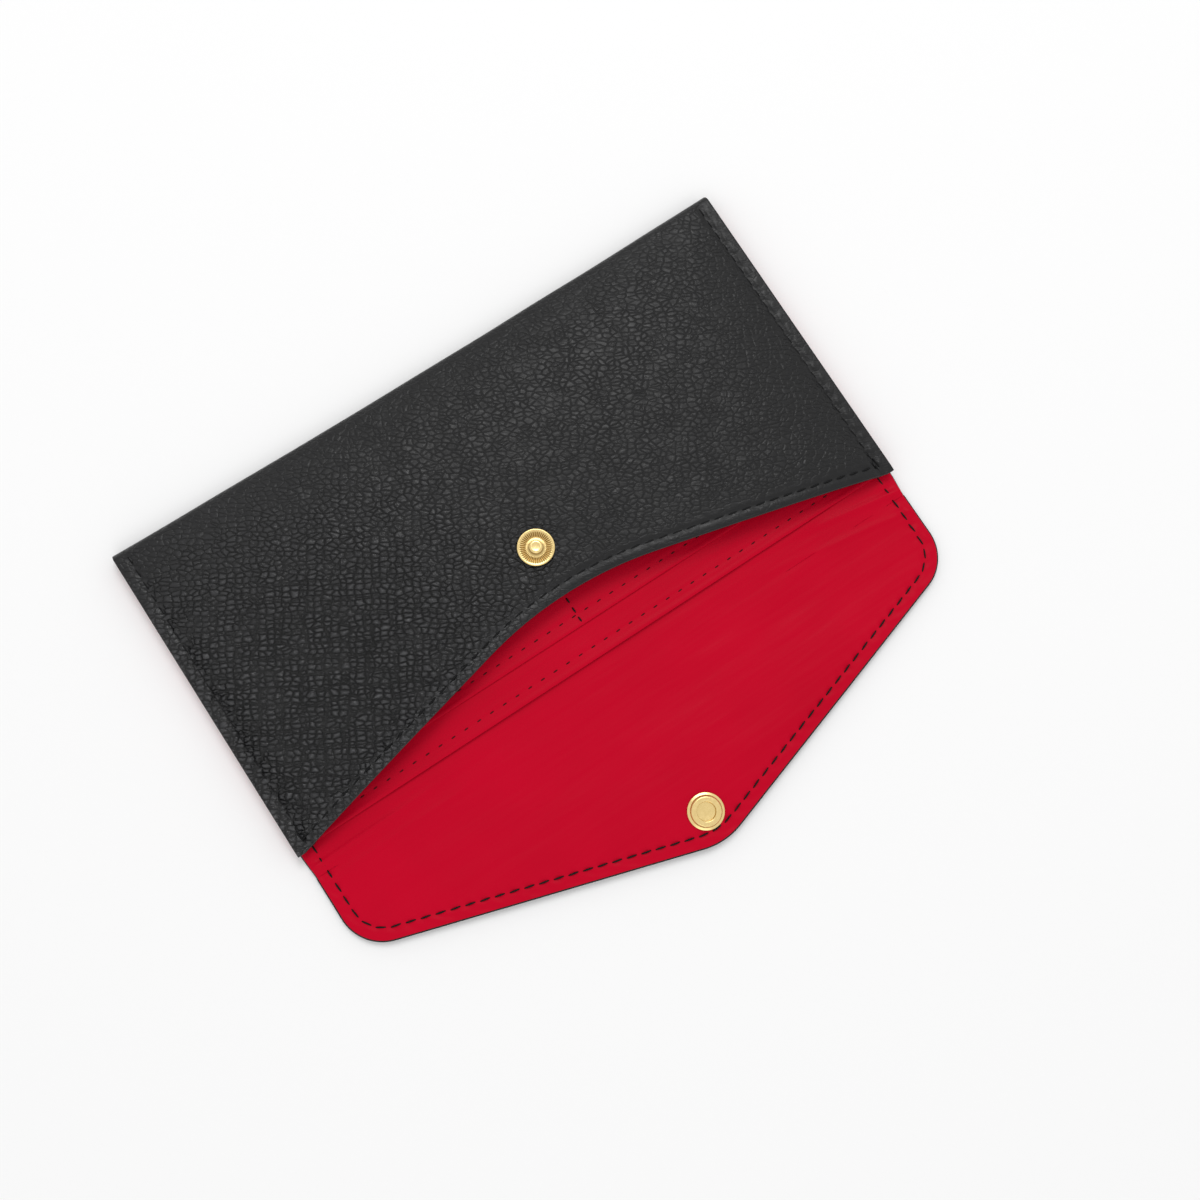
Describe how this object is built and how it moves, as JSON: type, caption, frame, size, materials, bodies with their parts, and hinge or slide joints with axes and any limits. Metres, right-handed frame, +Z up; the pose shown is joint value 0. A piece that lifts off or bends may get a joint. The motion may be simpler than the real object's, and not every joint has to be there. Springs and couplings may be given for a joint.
{
  "type": "envelope wallet",
  "caption": "Long black leather envelope wallet with a red lining, card slots and a snap flap, lying open on its back.",
  "frame": {"origin": "under the back leather, at the middle of the line where the flap starts to fold", "axes": "+X along the wallet's length, +Y from the flap's fold to the bottom fold, +Z up from the back to the front"},
  "size_m": [0.194, 0.1546, 0.0117],
  "materials": {
    "black_leather": "matte",
    "red_lining": "satin",
    "pale_brass": "polished",
    "black_thread": "matte"
  },
  "bodies": {
    "wallet_body": {"outer_leather": "black_leather", "front_lining": "red_lining", "back_lining": "red_lining", "card_panel": "red_lining", "card_pocket_upper": "red_lining", "card_pocket_lower": "red_lining", "snap_stud": "pale_brass", "stud_rivet": "pale_brass"},
    "spine": {"spine_leather": "black_leather", "spine_lining": "red_lining"},
    "flap": {"flap_leather": "black_leather", "flap_lining": "red_lining", "snap_cap": "pale_brass", "snap_socket": "pale_brass", "socket_spring": "pale_brass"}
  },
  "joints": [
    {"name": "spine_fold", "type": "hinge", "parent": "wallet_body", "child": "spine", "pos_m": [0, -0.001, 0.0017], "axis": [-1, 0, 0], "range_deg": [0, 90]},
    {"name": "flap_fold", "type": "hinge", "parent": "spine", "child": "flap", "pos_m": [0, -0.01341, 0.0017], "axis": [-1, 0, 0], "range_deg": [0, 90]}
  ],
  "couplings": [
    {"joint": "flap_fold", "follows": "spine_fold", "ratio": 1}
  ]
}
